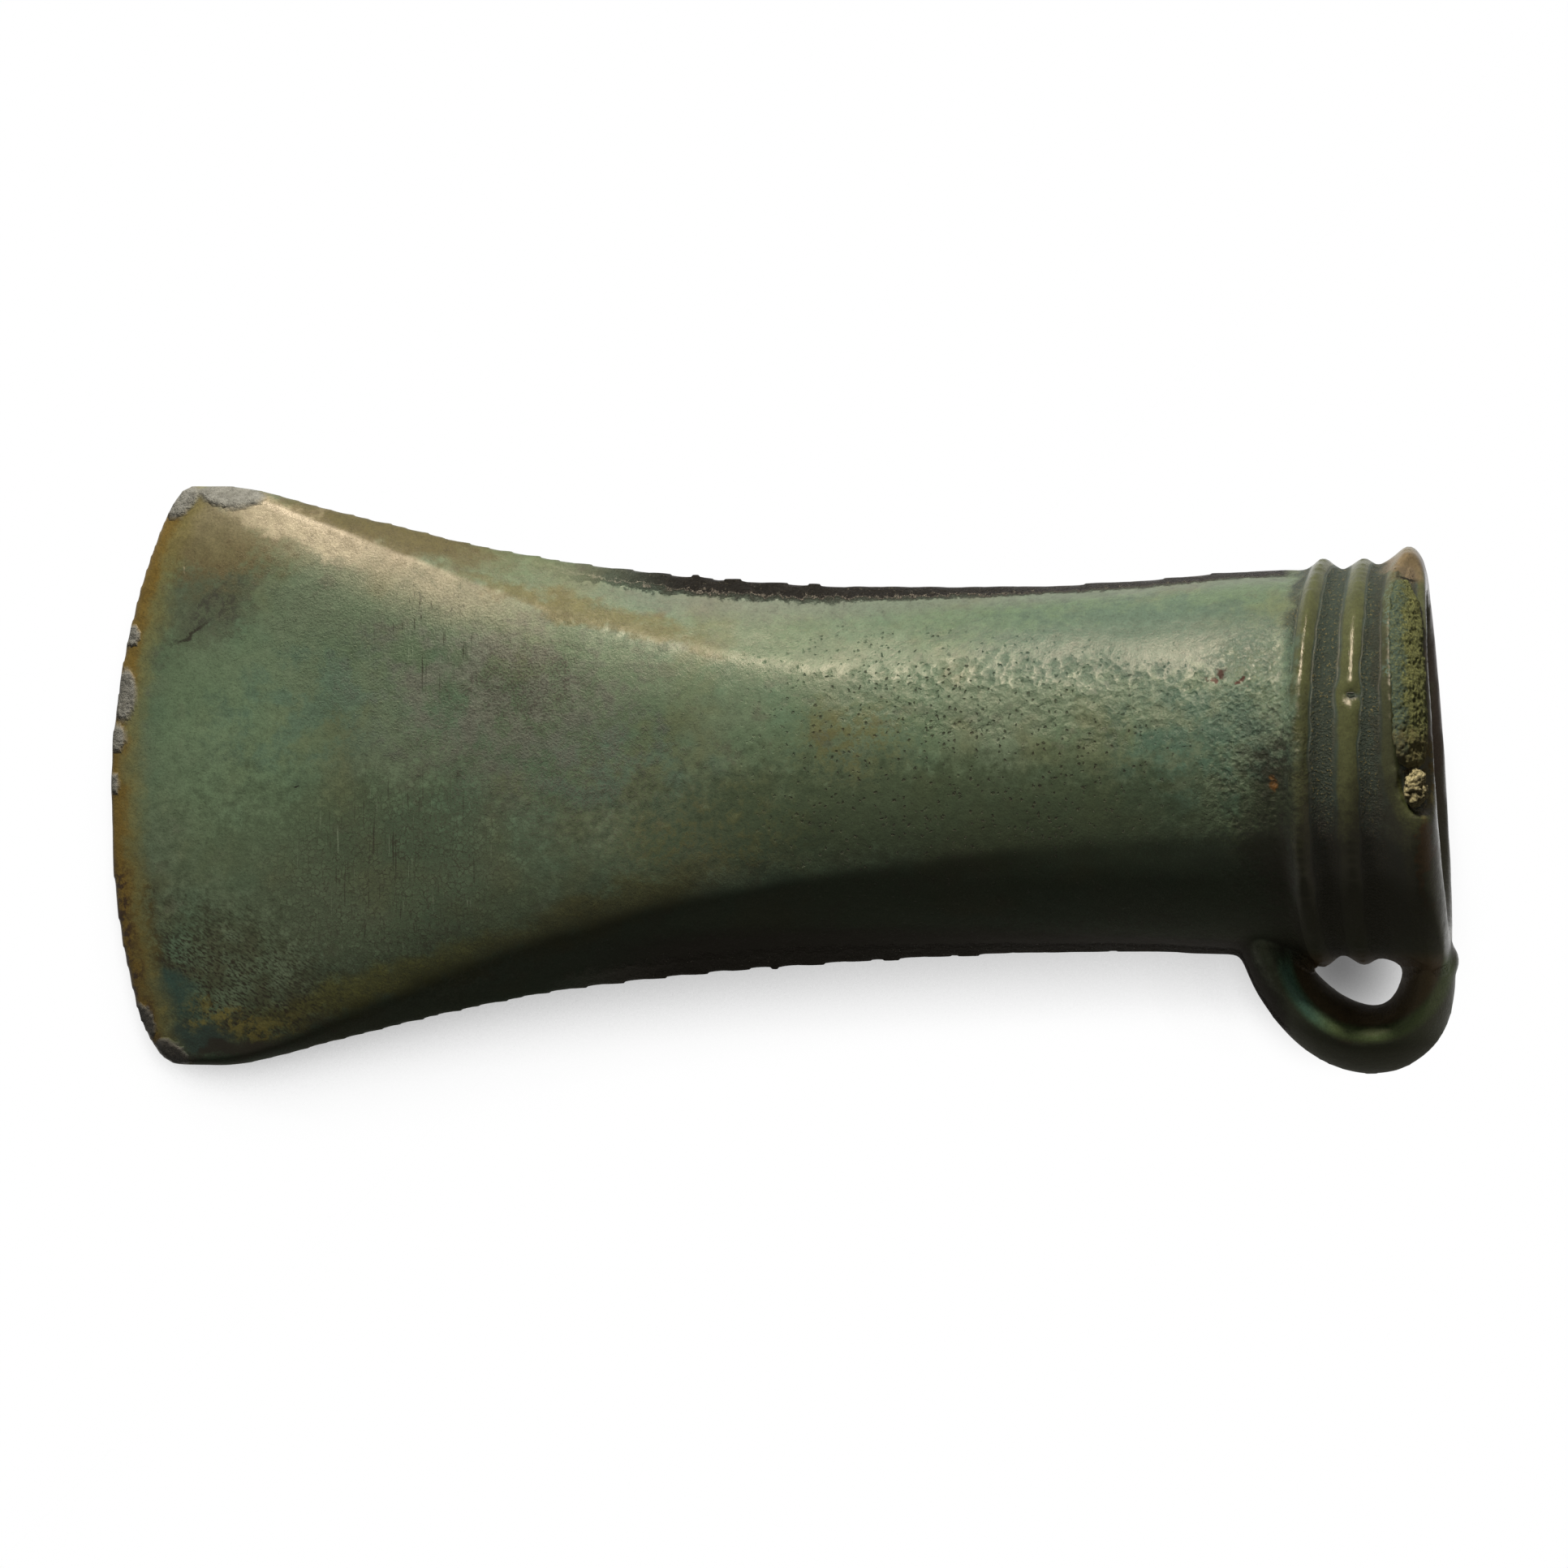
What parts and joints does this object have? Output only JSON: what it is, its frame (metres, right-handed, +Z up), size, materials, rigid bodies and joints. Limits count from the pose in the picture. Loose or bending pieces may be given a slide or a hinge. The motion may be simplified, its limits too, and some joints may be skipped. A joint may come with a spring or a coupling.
{
  "type": "looped socketed axe head",
  "caption": "Bronze socketed axe head with a splayed crescent blade, a tapering hollow body, a ribbed collar with a swollen lip, and a side loop for a cord.",
  "frame": {"origin": "on the surface that the axe lies on, under the middle of its bounding box", "axes": "+X along the axe from the cutting edge to the mouth, +Y across the blade away from the loop, +Z up from the surface. The axe lies on one broad face, on its lip and the heel of its bevel, so its own long axis rises towards the mouth by about 7 degrees."},
  "size_m": [0.116, 0.0506, 0.0304],
  "materials": {
    "patinated_bronze": "satin",
    "corrosion_crust": "matte",
    "limy_soil": "matte"
  },
  "bodies": {
    "root": {"axe_casting": "patinated_bronze", "mouth_crust": "corrosion_crust", "mouth_crumb": "limy_soil"}
  },
  "joints": []
}
